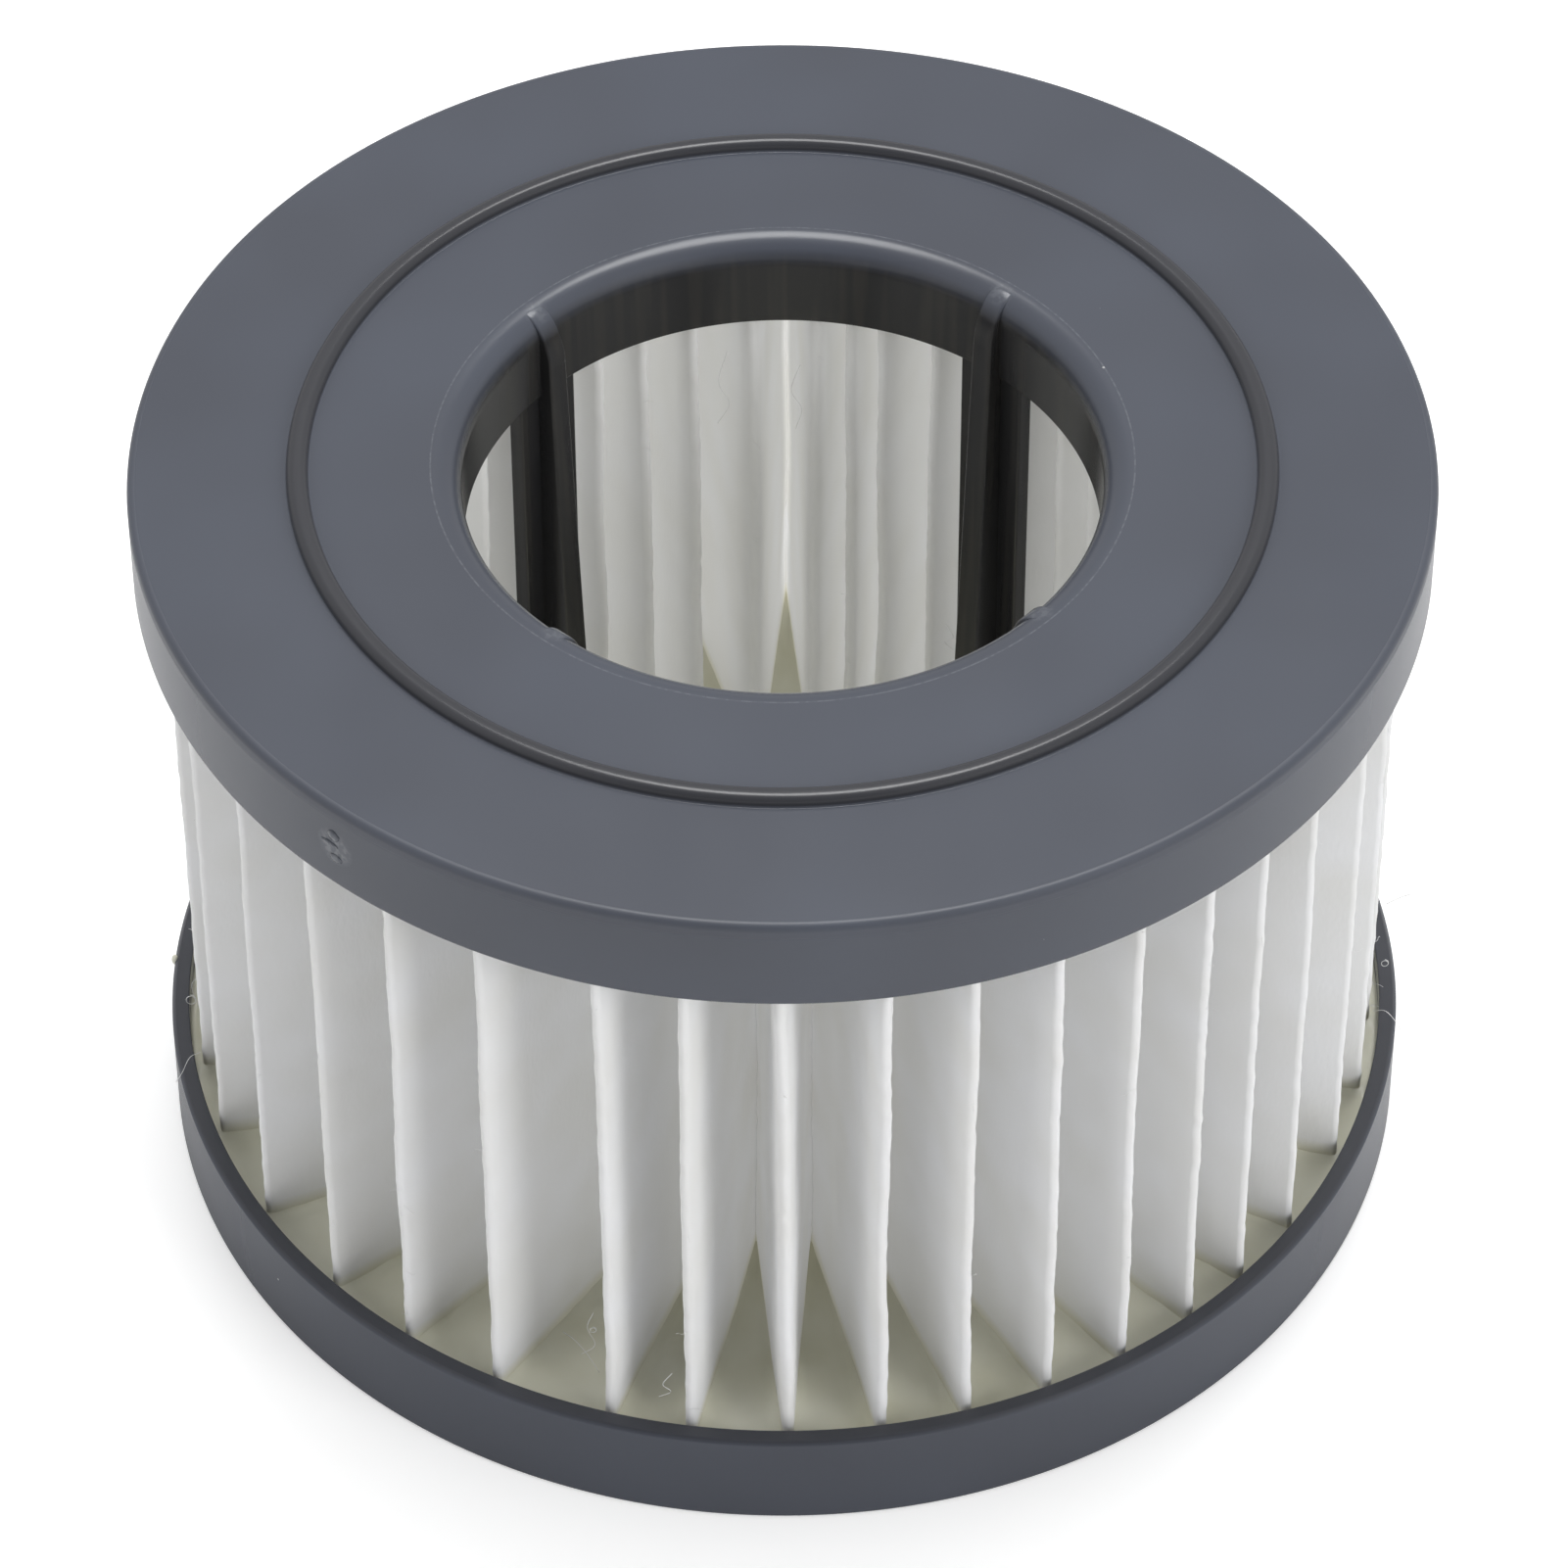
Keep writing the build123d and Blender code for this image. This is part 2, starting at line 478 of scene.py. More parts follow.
@dataclass(frozen=True)
class MouldedPlastic:
    """Dark grey moulded plastic: satin, with a fine grain, soft clouds, dust and pale rubbed spots,
    painted shade in the bore, on the bead and on the dish's rim, and painted reflection streaks in the
    bore.

    The roughness of the broad faces stays below 0.27. The renderer's denoiser treats a surface
    above that as matt, and would draw an outline where the roughness crosses it.
    """

    rubs: tuple[tuple[Vector, float, float], ...] = ()
    name: str = "moulded_plastic"
    base: Colour = (0.073, 0.081, 0.103)
    cloud: Colour = (0.066, 0.072, 0.090)
    cloud_size: float = 14 * MM
    cloud_span: Span = (0.3, 0.7)
    specular: float = 0.4
    roughness: Span = (0.225, 0.265)
    edge_roughness: float = 0.175
    edge_ring: Span = (41.45 * MM, 41.6 * MM)
    edge_height: float = 54.5 * MM
    wipe_size: float = 6 * MM
    wipe_stretch: Triple = (1, 0.35, 1)
    wipe_span: Span = (0.2, 0.8)
    grain_size: float = 0.16 * MM
    grain_depth: float = 0.004 * MM
    grain_strength: float = 0.5
    # Painted shade: dark colour of the bore's walls and the legs, where little light reaches in.
    inside: Colour = (0.024, 0.024, 0.026)
    bore_shade_ring: Span = (22.3 * MM, 22.7 * MM)
    bore_shade_heights: Span = (53.9 * MM, 54.9 * MM)
    # Painted reflection: lighter vertical streaks, the pleats mirrored on the bore's walls.
    painted_reflection_streak: Colour = (0.034, 0.033, 0.032)
    reflection_streak_size: float = 0.9 * MM
    reflection_streak_stretch: Triple = (1, 1, 0.04)
    reflection_streak_span: Span = (0.45, 0.65)
    # Painted shade on the bead and on the dish's rim.
    painted_bead_and_rim_shade: Colour = (0.036, 0.036, 0.040)
    bead_shade_heights: Span = (55.55 * MM, 55.7 * MM)
    bead_shade_share: float = 0.85
    rim_shade_top: float = 8.0 * MM
    rim_shade_ring: Span = (41.8 * MM, 42.0 * MM)
    rim_shade_share: float = 0.6
    foot_height: float = 1.0 * MM
    pale: Colour = (0.17, 0.18, 0.20)
    patch_size: float = 0.35 * MM
    patch_span: Span = (0.40, 0.60)
    patch_least: float = 0.3
    insert_radius: float = 22.58 * MM
    insert_height: float = 54.6 * MM
    insert_width: float = 0.07 * MM
    insert_share: float = 0.45
    dust: Colour = (0.42, 0.42, 0.42)
    dust_cell: float = 2.6 * MM
    dust_radius: float = 0.085 * MM
    dust_share: float = 0.08

    def build(self) -> Material:
        """Material of the plastic.

        Returns:
            The material.
        """
        graph = ShaderGraph(bpy.data.materials.new(self.name))
        colour = graph.clouds((self.base, self.cloud), self.cloud_size, self.cloud_span)
        # Painted reflection streaks over the painted shade of the bore.
        reflection_streak_noise = graph.noise(self.reflection_streak_size, 1, graph.stretch(self.reflection_streak_stretch))
        painted_shade_and_reflection = graph.mix(graph.remap(reflection_streak_noise, self.reflection_streak_span), self.inside, self.painted_reflection_streak)
        # Painted shade on the bead and on the dish's rim.
        colour = graph.mix(self._painted_bead_and_rim_shade(graph), colour, self.painted_bead_and_rim_shade)
        # Painted shade with painted reflection streaks on the bore's walls and the legs.
        colour = graph.mix(self._painted_bore_shade(graph), colour, painted_shade_and_reflection)
        colour = graph.mix(self._rubbed(graph), colour, self.pale)
        colour = graph.mix(self._dust(graph), colour, self.dust)
        return graph.finish(
            Base_Color=colour,
            Roughness=self._roughness(graph),
            Normal=graph.bump(graph.noise(self.grain_size, 1), self.grain_depth, self.grain_strength),
            Specular_IOR_Level=self.specular,
        )

    def _roughness(self, graph: ShaderGraph) -> NodeSocket:
        """Roughness, a little uneven, with more of it on the worn outer edge of the plate.

        Args:
            graph: Graph of the material.

        Returns:
            The roughness.
        """
        wiped = graph.noise(self.wipe_size, 1, graph.stretch(self.wipe_stretch))
        edge = graph.remap(graph.radius(), self.edge_ring, (0.0, self.edge_roughness))
        worn = graph.both(edge, graph.above(self.edge_height))
        return graph.math("ADD", graph.remap(wiped, self.wipe_span, self.roughness), worn)

    def _painted_bead_and_rim_shade(self, graph: ShaderGraph) -> NodeSocket:
        """Mask of the painted shade on the bead and on the dish's rim, which makes them darker than the
        plate where little light reaches.

        Args:
            graph: Graph of the material.

        Returns:
            The mask.
        """
        height = graph.height()
        bead = graph.remap(height, self.bead_shade_heights, (0.0, self.bead_shade_share))
        within = graph.remap(graph.radius(), self.rim_shade_ring, (self.rim_shade_share, 0.0))
        low = graph.math("LESS_THAN", height, self.rim_shade_top)
        rim = graph.both(within, graph.both(low, graph.above(self.foot_height)))
        return graph.math("MAXIMUM", bead, rim)

    def _painted_bore_shade(self, graph: ShaderGraph) -> NodeSocket:
        """Mask of the painted shade, with painted reflection streaks, on the walls of the bore and the
        legs, where little light reaches in.

        Args:
            graph: Graph of the material.

        Returns:
            The mask.
        """
        near = graph.remap(graph.radius(), self.bore_shade_ring, (1.0, 0.0))
        low = graph.remap(graph.height(), self.bore_shade_heights, (1.0, 0.0))
        return graph.both(near, graph.both(low, graph.above(self.foot_height)))

    def _rubbed(self, graph: ShaderGraph) -> NodeSocket:
        """Mask of the pale spots and of the broken line where the mould's insert meets the plate.

        Args:
            graph: Graph of the material.

        Returns:
            The mask.
        """
        patchy = graph.remap(graph.noise(self.patch_size, 1), self.patch_span, (self.patch_least, 1.0))
        away = graph.math("SUBTRACT", graph.radius(), self.insert_radius)
        widths = (self.insert_width / 2, self.insert_width)
        line = graph.remap(graph.math("ABSOLUTE", away), widths, (self.insert_share, 0.0))
        mask = graph.both(line, graph.above(self.insert_height))
        for place, radius, strength in self.rubs:
            gap = graph.add("ShaderNodeVectorMath", operation="DISTANCE")
            graph.feed(gap.inputs[0], graph.place)
            graph.feed(gap.inputs[1], place)
            spot = graph.remap(gap.outputs["Value"], (radius / 2, radius), (strength, 0.0))
            mask = graph.math("MAXIMUM", mask, spot)
        return graph.both(mask, patchy)

    def _dust(self, graph: ShaderGraph) -> NodeSocket:
        """Mask of single specks of dust, one in a few cells.

        Args:
            graph: Graph of the material.

        Returns:
            The mask.
        """
        cells = graph.add("ShaderNodeTexVoronoi", feature="F1")
        graph.feed(cells.inputs["Vector"], graph.place)
        graph.feed(cells.inputs["Scale"], 1 / self.dust_cell)
        near = graph.math("LESS_THAN", cells.outputs["Distance"], self.dust_radius / self.dust_cell)
        pick = graph.add("ShaderNodeSeparateColor")
        graph.feed(pick.inputs[0], cells.outputs["Color"])
        return graph.both(near, graph.math("LESS_THAN", pick.outputs["Red"], self.dust_share))


@dataclass(frozen=True)
class FilterPaper:
    """Soft white filter paper, soaked where it is glued, with a painted glow for the light that it lets
    through.

    The face that looks at the hollow has a painted glow for the light that comes through the sheet,
    least at the inner crests and most where the sheet lies against the light outside.
    """

    foot: float
    inside: bool = False
    name: str = "filter_paper"
    white: Colour = (0.835, 0.84, 0.85)
    shade: Colour = (0.80, 0.80, 0.79)
    cloud_size: float = 6 * MM
    cloud_span: Span = (0.3, 0.7)
    soaked: Colour = (0.70, 0.68, 0.52)
    soak_heights: Span = (0.1 * MM, 1.6 * MM)
    roughness: float = 0.92
    specular: float = 0.2
    fibre_size: float = 0.35 * MM
    fibre_stretch: Triple = (1, 1, 0.45)
    fibre_depth: float = 0.03 * MM
    fibre_strength: float = 0.5
    # Painted glow: emission that stands in for light coming through the sheet.
    glow_colour: Colour = (0.85, 0.845, 0.81)
    outer_wall: Span = (29 * MM, 37 * MM)
    outer_glow: Span = (0.10, 0.0)
    inner_wall: Span = (23.5 * MM, 29 * MM)
    inner_glow: Span = (0.115, 0.155)
    deep_end: Span = (37 * MM, 40 * MM)
    deep_extra_glow: float = 0.095

    def build(self) -> Material:
        """Material of the paper.

        Returns:
            The material.
        """
        graph = ShaderGraph(bpy.data.materials.new(self.name))
        colour = graph.clouds((self.white, self.shade), self.cloud_size, self.cloud_span)
        start, end = self.soak_heights
        soak = graph.remap(graph.height(), (self.foot + start, self.foot + end), (1.0, 0.0))
        fibres = graph.noise(self.fibre_size, 1, graph.stretch(self.fibre_stretch))
        return graph.finish(
            Base_Color=graph.mix(soak, colour, self.soaked),
            Roughness=self.roughness,
            Normal=graph.bump(fibres, self.fibre_depth, self.fibre_strength),
            Specular_IOR_Level=self.specular,
            Emission_Color=(*self.glow_colour, 1.0),
            Emission_Strength=self._inner_glow(graph) if self.inside else self._outer_glow(graph),
        )

    def _outer_glow(self, graph: ShaderGraph) -> NodeSocket:
        """Painted glow for the light that comes through the walls deep in the pleats, seen from outside.
        """
        return graph.remap(graph.radius(), self.outer_wall, self.outer_glow)

    def _inner_glow(self, graph: ShaderGraph) -> NodeSocket:
        """Painted glow for the light that comes through the sheet into the hollow, by the distance from
        the axis.

        Args:
            graph: Graph of the material.

        Returns:
            The strength of the glow.
        """
        radius = graph.radius()
        walls = graph.remap(radius, self.inner_wall, self.inner_glow)
        deep = graph.remap(radius, self.deep_end, (0.0, self.deep_extra_glow))
        return graph.math("ADD", walls, deep)


@dataclass(frozen=True)
class CastAdhesive:
    """Cream to olive adhesive, cast level and slightly glossy."""

    name: str = "cast_adhesive"
    cream: Colour = (0.76, 0.755, 0.64)
    olive: Colour = (0.68, 0.67, 0.53)
    cloud_size: float = 7 * MM
    cloud_span: Span = (0.35, 0.7)
    roughness: float = 0.32
    refraction: float = 1.48
    ripple_size: float = 2.5 * MM
    ripple_depth: float = 0.08 * MM
    ripple_strength: float = 0.4

    def build(self) -> Material:
        """Material of the adhesive.

        Returns:
            The material.
        """
        graph = ShaderGraph(bpy.data.materials.new(self.name))
        return graph.finish(
            Base_Color=graph.clouds((self.cream, self.olive), self.cloud_size, self.cloud_span, 3),
            Roughness=self.roughness,
            Normal=graph.bump(graph.noise(self.ripple_size, 2), self.ripple_depth, self.ripple_strength),
            IOR=self.refraction,
        )


@dataclass
class TopCap:
    """Top cap: plate, bead, skirt and sleeve turned in one, with four legs moulded below the bore."""

    outer_radius: float
    top: float
    floor: float
    plate_thickness: float = 1.8 * MM
    skirt_depth: float = 6.8 * MM
    skirt_wall: float = 1.3 * MM
    edge_round: float = 0.5 * MM
    rim_round: float = 0.3 * MM
    bore_radius: float = 20.6 * MM
    lip_round: float = 1.9 * MM
    sleeve_depth: float = 6.5 * MM
    sleeve_wall: float = 1.4 * MM
    bead_circle_radius: float = 31.1 * MM
    bead_half_width: float = 0.7 * MM
    bead_height: float = 0.7 * MM
    bead_foot_round: float = 0.12 * MM
    bead_fullness: float = 0.98
    leg_count: int = 4
    leg_start_angle: float = math.radians(48.3)
    web_width: float = 5.4 * MM
    web_wall: float = 1.08 * MM
    web_back_gap: float = 0.02 * MM
    web_flats: int = 6
    rib_thickness_top: float = 1.5 * MM
    rib_thickness_foot: float = 2.1 * MM
    rib_reach: float = 0.9 * MM
    rib_draft: float = math.radians(2.2)
    crown_height: float = 3.8 * MM
    crown_width: float = 2.3 * MM
    crown_step: float = 0.1 * MM
    crown_flats: int = 12
    crown_rub: Span = (1.0 * MM, 0.35)
    leg_edge_round: float = 0.16 * MM
    leg_edge_flats: int = 3
    sharp_angle: float = math.radians(50)
    gate_angle: float = math.radians(-131)
    gate_height: float = 52.1 * MM
    gate_proud: float = 0.11 * MM
    gate_rub: Span = (1.5 * MM, 0.85)
    gate_crumbs: tuple[tuple[float, float, float, float], ...] = (
        (-0.05 * MM, 0.95 * MM, 0.46 * MM, 0.50 * MM),
        (-0.42 * MM, 0.10 * MM, 0.22 * MM, 0.70 * MM),
        (0.05 * MM, -0.95 * MM, 0.36 * MM, 0.55 * MM),
    )
    crumb_lumps: float = 0.18
    crumb_lump_pitch: float = 1.7
    crumb_seed_step: float = 9000
    around: int = 288

    def build(self, material: Material) -> Object:
        """Model the cap.

        Args:
            material: Finish of the piece.

        Returns:
            The piece.
        """
        shape = bmesh.new()
        turn_section(shape, self._section(), self.around)
        for angle in self._leg_angles():
            for part in (self._rib(), self._web()):
                join_shape(shape, part, Matrix.Rotation(angle, 4, "Z"))
        self._add_gate_mark(shape)
        return weigh_normals(
            make_piece("top_cap_moulding", shape, material, ["top_cap"])
        )

    def _section(self) -> list[Corner]:
        """Section of the plate, bead, skirt and sleeve.

        Returns:
            The corners, in order.
        """
        underside = self.top - self.plate_thickness
        skirt_bottom = self.top - self.skirt_depth
        sleeve_bottom = self.top - self.sleeve_depth
        skirt_inner = self.outer_radius - self.skirt_wall
        sleeve_outer = self.bore_radius + self.sleeve_wall
        bead_inner = self.bead_circle_radius - self.bead_half_width
        bead_outer = self.bead_circle_radius + self.bead_half_width
        bead_top = self.top + self.bead_height
        bead_round = min(self.bead_half_width, self.bead_height - self.bead_foot_round)
        bead_round *= self.bead_fullness
        return [
            Corner(self.bore_radius, self.top, self.lip_round, 10),
            Corner(bead_inner, self.top, self.bead_foot_round, 3),
            Corner(bead_inner, bead_top, bead_round, 7),
            Corner(bead_outer, bead_top, bead_round, 7),
            Corner(bead_outer, self.top, self.bead_foot_round, 3),
            Corner(self.outer_radius, self.top, self.edge_round, 6),
            Corner(self.outer_radius, skirt_bottom, self.rim_round, 4),
            Corner(skirt_inner, skirt_bottom, self.rim_round, 4),
            Corner(skirt_inner, underside),
            Corner(sleeve_outer, underside),
            Corner(sleeve_outer, sleeve_bottom, self.rim_round, 4),
            Corner(self.bore_radius, sleeve_bottom, self.rim_round / 2, 3),
        ]

    def gate_mark(self) -> Vector:
        """Middle of the mark that the torn-off gate left on the skirt."""
        return polar(self.outer_radius, self.gate_angle, self.gate_height)

    def rubs(self) -> tuple[tuple[Vector, float, float], ...]:
        """Places that are rubbed pale, each with its radius and strength.

        They are the gate's mark and the ends of the ribs' crowns on the lip.

        Returns:
            The places.
        """
        radius = self.bore_radius + self.lip_round / 2
        ends = [polar(radius, angle, self.top - self.crown_step) for angle in self._leg_angles()]
        return ((self.gate_mark(), *self.gate_rub), *((end, *self.crown_rub) for end in ends))

    def _leg_angles(self) -> list[float]:
        """Angle of each leg round the axis."""
        steps = range(self.leg_count)
        return [self.leg_start_angle + FULL_TURN * number / self.leg_count for number in steps]

    def _add_gate_mark(self, shape: BMesh) -> None:
        """Add the crumbs that the torn-off gate left, sunk into the skirt.

        Args:
            shape: The bmesh of the cap.
        """
        facing = polar(1, self.gate_angle).to_track_quat("Z", "Y").to_matrix().to_4x4()
        for across, height, width, length in self.gate_crumbs:
            crumb = bmesh.new()
            bmesh.ops.create_icosphere(crumb, subdivisions=2, radius=1)
            seed = Vector((width * self.crumb_seed_step, 0, 0))
            for vert in crumb.verts:
                lump = noise.noise(vert.co * self.crumb_lump_pitch + seed)
                vert.co *= 1 + self.crumb_lumps * lump
            bmesh.ops.scale(crumb, vec=(length, width, self.gate_proud), verts=crumb.verts)
            place = self.gate_mark() + polar(across, self.gate_angle + math.pi / 2, height)
            join_shape(shape, crumb, Matrix.Translation(place) @ facing)

    def _rib(self) -> BMesh:
        """One rib on the +X side, with its crown running out on the lip.

        Returns:
            The rib.
        """
        underside = self.top - self.plate_thickness
        inner_top = self.bore_radius - self.rib_reach
        root = self.bore_radius + self.sleeve_wall / 2
        lip = self.bore_radius + self.lip_round
        crown_top = self.top - self.crown_step
        crown_bottom = crown_top - self.crown_height
        inner_foot = inner_top - (crown_bottom - self.floor) * math.tan(self.rib_draft)
        stretch = self.crown_height / self.crown_width
        shape = bmesh.new()
        corners = [
            (inner_top, crown_top),
            (inner_top, crown_bottom - TINY),
            (inner_foot, self.floor),
            (root, self.floor),
            (root, underside),
            (lip, underside),
            (lip, crown_top),
        ]
        verts = [shape.verts.new((radius * stretch, 0, height)) for radius, height in corners]
        shape.faces.new(verts)
        round_off(shape, [verts[0]], self.crown_height, self.crown_flats, "VERTICES")
        bmesh.ops.scale(shape, vec=(1 / stretch, 1, 1), verts=shape.verts)
        side = bmesh.ops.extrude_face_region(shape, geom=shape.faces[:])["geom"]
        bmesh.ops.translate(shape, vec=(0, 1, 0), verts=only(BMVert, side))
        bmesh.ops.translate(shape, vec=(0, -0.5, 0), verts=shape.verts)
        for vert in shape.verts:
            share = (vert.co.z - self.floor) / (self.top - self.floor)
            gain = (self.rib_thickness_top - self.rib_thickness_foot) * share
            vert.co.y *= self.rib_thickness_foot + gain
        bmesh.ops.recalc_face_normals(shape, faces=shape.faces)
        self._round_edges(shape)
        return shape

    def _web(self) -> BMesh:
        """One web on the +X side, a stretch of ring that carries on the wall of the sleeve.

        Returns:
            The web.
        """
        outer = self.bore_radius + self.sleeve_wall - self.web_back_gap
        inner = outer - self.web_wall
        half_turn = self.web_width / 2 / outer
        head = self.top - self.sleeve_depth + self.rim_round
        shape = bmesh.new()
        corners = [(inner, self.floor), (outer, self.floor), (outer, head), (inner, head)]
        shape.faces.new([shape.verts.new((radius, 0, height)) for radius, height in corners])
        bmesh.ops.rotate(shape, verts=shape.verts, matrix=Matrix.Rotation(-half_turn, 3, "Z"))
        geom = shape.verts[:] + shape.edges[:] + shape.faces[:]
        turn_up(shape, geom, 2 * half_turn, self.web_flats)
        bmesh.ops.recalc_face_normals(shape, faces=shape.faces)
        self._round_edges(shape)
        return shape

    def _round_edges(self, shape: BMesh) -> None:
        """Round the sharp long edges of a leg's part.

        Args:
            shape: The leg's part.
        """
        sharp = [
            edge
            for edge in shape.edges
            if len(edge.link_faces) == 2 and edge.calc_face_angle() > self.sharp_angle
        ]
        round_off(shape, sharp, self.leg_edge_round, self.leg_edge_flats, "EDGES")


@dataclass
class BottomCap:
    """Bottom cap: a closed dish whose rim has a small crisp chamfer outside."""

    outer_radius: float
    height: float
    floor: float
    wall: float = 1.2 * MM
    foot_round: float = 0.4 * MM
    chamfer: float = 0.28 * MM
    crisp_round: float = 0.05 * MM
    inner_round: float = 0.12 * MM
    around: int = 288

    def build(self, material: Material) -> Object:
        """Model the dish.

        Args:
            material: Finish of the piece.

        Returns:
            The piece.
        """
        inner = self.outer_radius - self.wall
        shape = bmesh.new()
        section = [
            Corner(0, 0),
            Corner(self.outer_radius, 0, self.foot_round, 6),
            Corner(self.outer_radius, self.height - self.chamfer, self.crisp_round, 3),
            Corner(self.outer_radius - self.chamfer, self.height, self.crisp_round, 3),
            Corner(inner, self.height, self.inner_round, 3),
            Corner(inner, self.floor),
            Corner(0, self.floor),
        ]
        turn_section(shape, section, self.around, closed=False)
        return weigh_normals(
            make_piece("bottom_cap_moulding", shape, material, ["bottom_cap"])
        )


@dataclass
class FoldPlan:
    """Where the folds of the sheet stand, seen from above."""

    outer_radius: float
    inner_radius: float
    paper_thickness: float = 0.36 * MM
    fold_round: float = 0.19 * MM
    joint_gap: float = 0.69 * MM
    front_angle: float = math.radians(-90)
    before_joint: tuple[float, ...] = (9, 8, 8.2, 8.3, 8, 7.2, 8.3, 10.7, *(11 * (9.05,)))
    after_joint: tuple[float, ...] = (
        *(10, 11.2, 8.6, 8.7),
        *(9 * (8.95,)),
        *(12, 11.4, 10, 9.8, 11.5, 7.8, 8.8),
    )

    def turns(self) -> list[float]:
        """Angle that each pleat takes up, in radians, from the front fold round towards +X.

        Returns:
            The angles.
        """
        crest_round = self.fold_round + self.paper_thickness / 2
        joint = (2 * crest_round + self.joint_gap) / (self.outer_radius - crest_round)
        unit = (FULL_TURN - joint) / sum(self.before_joint + self.after_joint)
        before = [width * unit for width in self.before_joint]
        after = [width * unit for width in self.after_joint]
        return before + [joint] + after

    def folds(self) -> list[tuple[float, float]]:
        """Radius of the sheet's middle and angle of each fold, outer and inner by turns.

        Returns:
            The folds.
        """
        folds = []
        angle = self.front_angle
        for turn in self.turns():
            folds.append((self.outer_radius - self.paper_thickness / 2, angle))
            folds.append((self.inner_radius + self.paper_thickness / 2, angle + turn / 2))
            angle += turn
        return folds

    def wall_ends(self) -> list[tuple[Vector, Vector]]:
        """Start and end of the flat middle of each wall, seen from above."""
        corners = self.corners()
        return list(zip(corners[1::2], corners[2::2] + corners[:1]))

    def corners(self) -> list[Vector]:
        """Two corners for each fold, where its square end would be before it is rounded.

        Returns:
            The corners.
        """
        corners = []
        for radius, angle in self.folds():
            across = polar(self.fold_round, angle + math.pi / 2)
            crest = polar(radius, angle)
            corners.extend([crest - across, crest + across])
        return corners


@dataclass
class PleatedPaper:
    """The folded sheet, with soft crests that waver and walls that bulge a little."""

    plan: FoldPlan
    foot: float
    head: float
    row_height: float = 0.67 * MM
    bend_share: float = 0.92
    bend_flats: int = 2
    wall_least: float = 3.8 * MM
    wall_cuts: int = 2
    crest_wave: float = 0.08 * MM
    crest_wave_length: float = 1.0 * MM
    crest_sway: float = 0.24 * MM
    crest_from: float = 0.8
    wall_bulge: float = 0.15 * MM
    bulge_length: float = 11 * MM
    bulge_depth: float = 9 * MM
    bulges_a_radian: float = 6.3
    lean: float = 0.3 * MM
    fold_seed_step: float = 7.31
    wave_seed: float = 0.5
    push_seed: float = 9.5
    sway_seed: float = 3.1
    lean_seed: float = 5.7
    lean_row: float = 0.37

    def build(self, outer_face: Material, inner_face: Material) -> Object:
        """Model the sheet.

        Args:
            outer_face: Finish of the face that looks outwards.
            inner_face: Finish of the face that looks at the hollow.

        Returns:
            The piece.
        """
        shape = bmesh.new()
        self._draw_fold_line(shape)
        self._raise_walls(shape)
        self._soften(shape)
        piece = make_piece("folded_paper", shape, outer_face, ["pleated_paper"])
        piece.data.materials.append(inner_face)
        thickness = piece.modifiers.new("paper_thickness", "SOLIDIFY")
        thickness.thickness = self.plan.paper_thickness
        thickness.offset = 0
        thickness.use_rim = True
        thickness.material_offset = 1
        return piece

    def _draw_fold_line(self, shape: BMesh) -> None:
        """Draw the line of the sheet's middle and round its folds.

        Args:
            shape: An empty bmesh.
        """
        verts = [shape.verts.new(corner + Vector((0, 0, self.foot))) for corner in self.plan.corners()]
        for pair in zip(verts, verts[1:] + verts[:1]):
            shape.edges.new(pair)
        offset = self.plan.fold_round * self.bend_share
        round_off(shape, shape.verts[:], offset, self.bend_flats, "VERTICES")
        walls = [edge for edge in shape.edges if edge.calc_length() > self.wall_least]
        bmesh.ops.subdivide_edges(shape, edges=walls, cuts=self.wall_cuts)

    def _raise_walls(self, shape: BMesh) -> None:
        """Extrude the line to the full height in rows.

        Args:
            shape: The bmesh of the line.
        """
        rows = round((self.head - self.foot) / self.row_height)
        edges = shape.edges[:]
        for _ in range(rows):
            grown = bmesh.ops.extrude_edge_only(shape, edges=edges)["geom"]
            raised = only(BMVert, grown)
            above = set(raised)
            edges = [edge for edge in only(BMEdge, grown) if above.issuperset(edge.verts)]
            bmesh.ops.translate(shape, vec=(0, 0, (self.head - self.foot) / rows), verts=raised)
        bmesh.ops.recalc_face_normals(shape, faces=shape.faces)

    def _soften(self, shape: BMesh) -> None:
        """Lean the pleats, waver the crests and bulge the walls.

        Args:
            shape: The bmesh of the sheet.
        """
        crests = KDTree(len(self.plan.folds()))
        for number, (radius, angle) in enumerate(self.plan.folds()):
            crests.insert(polar(radius, angle), number)
        crests.balance()
        middle = (self.plan.outer_radius + self.plan.inner_radius) / 2
        half_depth = (self.plan.outer_radius - self.plan.inner_radius) / 2
        length = self.head - self.foot
        for vert in shape.verts:
            angle = math.atan2(vert.co.y, vert.co.x)
            radius = vert.co.xy.length
            fold = crests.find((vert.co.x, vert.co.y, 0))[1]
            reach = abs(radius - middle) / half_depth
            crest = ease((reach - self.crest_from) / (1 - self.crest_from))
            height = vert.co.z - self.foot
            ripple = height / self.crest_wave_length
            slope = height / self.bulge_length
            wave = self._waver(fold, ripple, self.wave_seed) * self.crest_wave
            push = self._waver(fold, ripple, self.push_seed) * self.crest_wave
            sway = self._waver(fold, slope, self.sway_seed) * self.crest_sway
            lean = self._waver(fold, self.lean_row, self.lean_seed) * self.lean
            lean *= 2 * height / length - 1
            bulge = noise.noise(Vector((angle * self.bulges_a_radian, slope, radius / self.bulge_depth)))
            bulge *= self.wall_bulge * (1 - reach * reach)
            across = polar(1, angle + math.pi / 2)
            vert.co += across * ((wave + sway) * crest + lean * reach + bulge)
            vert.co += polar(1, angle) * push * crest

    def _waver(self, fold: int, row: float, seed: float) -> float:
        """Noise that differs from fold to fold, at a place along the fold."""
        return noise.noise(Vector((fold * self.fold_seed_step, row, seed)))


